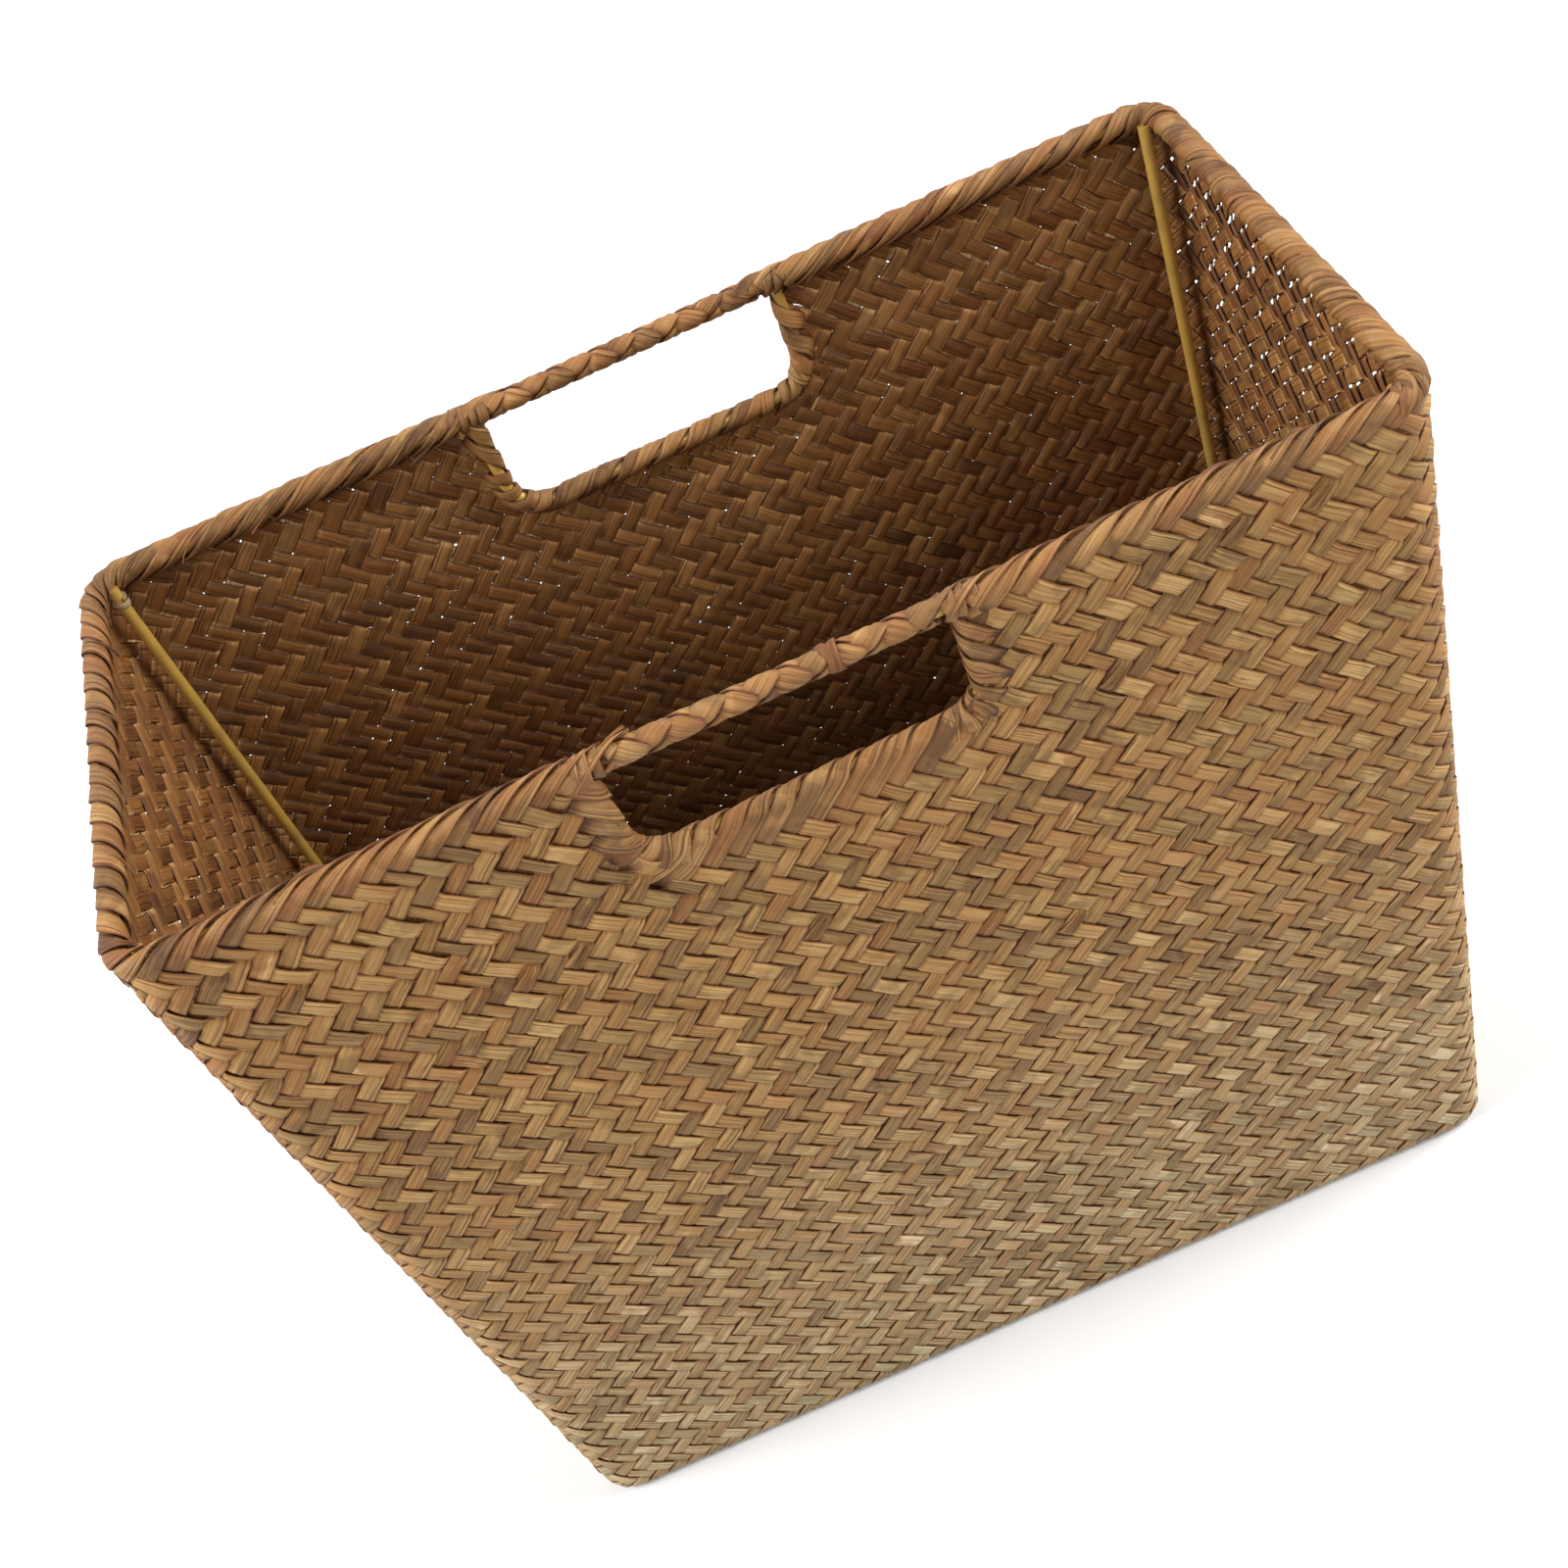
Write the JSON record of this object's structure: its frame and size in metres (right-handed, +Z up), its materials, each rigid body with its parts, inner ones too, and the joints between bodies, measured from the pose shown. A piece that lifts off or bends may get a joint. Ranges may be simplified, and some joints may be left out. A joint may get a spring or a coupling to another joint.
{
  "type": "magazine basket",
  "caption": "Open-topped rectangular basket plaited from flat rush over a wire frame, with a handhold cut under the rim of each long wall, for standing magazines in.",
  "frame": {"origin": "on the floor, under the middle of the basket", "axes": "+X along the long walls, +Y from the front wall to the back wall, +Z up"},
  "size_m": [0.389, 0.187, 0.3816],
  "materials": {
    "gold_wire": "olive gold paint, satin",
    "plaited_rush": "plaited flat rush, straw to brown, matt with a slight sheen",
    "rim_rush": "flat rush wrapped round the wire, straw brown, matt with a slight sheen",
    "lashing_rush": "flat rush lashing, brown, matt"
  },
  "bodies": {
    "root": {"rim_wire": "gold_wire", "base_wire": "gold_wire", "corner_post_front_left": "gold_wire", "corner_post_front_right": "gold_wire", "corner_post_back_right": "gold_wire", "corner_post_back_left": "gold_wire", "handhold_wire_front": "gold_wire", "handhold_wire_back": "gold_wire", "wall_weave_front": "plaited_rush", "wall_weave_back": "plaited_rush", "wall_weave_left": "plaited_rush", "wall_weave_right": "plaited_rush", "base_weave": "plaited_rush", "rim_binding_front_left": "rim_rush", "rim_binding_front_right": "rim_rush", "rim_binding_back_right": "rim_rush", "rim_binding_back_left": "rim_rush", "rim_binding_left": "rim_rush", "rim_binding_right": "rim_rush", "corner_lashing_front_left": "lashing_rush", "corner_lashing_front_right": "lashing_rush", "corner_lashing_back_right": "lashing_rush", "corner_lashing_back_left": "lashing_rush", "grip_braid_front": "rim_rush", "grip_braid_back": "rim_rush", "handhold_sill_binding_front": "rim_rush", "handhold_sill_binding_back": "rim_rush", "handhold_side_binding_front_left": "lashing_rush", "grip_lashing_front_left": "lashing_rush", "handhold_side_binding_front_right": "lashing_rush", "grip_lashing_front_right": "lashing_rush", "handhold_side_binding_back_left": "lashing_rush", "grip_lashing_back_left": "lashing_rush", "handhold_side_binding_back_right": "lashing_rush", "grip_lashing_back_right": "lashing_rush"}
  },
  "joints": []
}
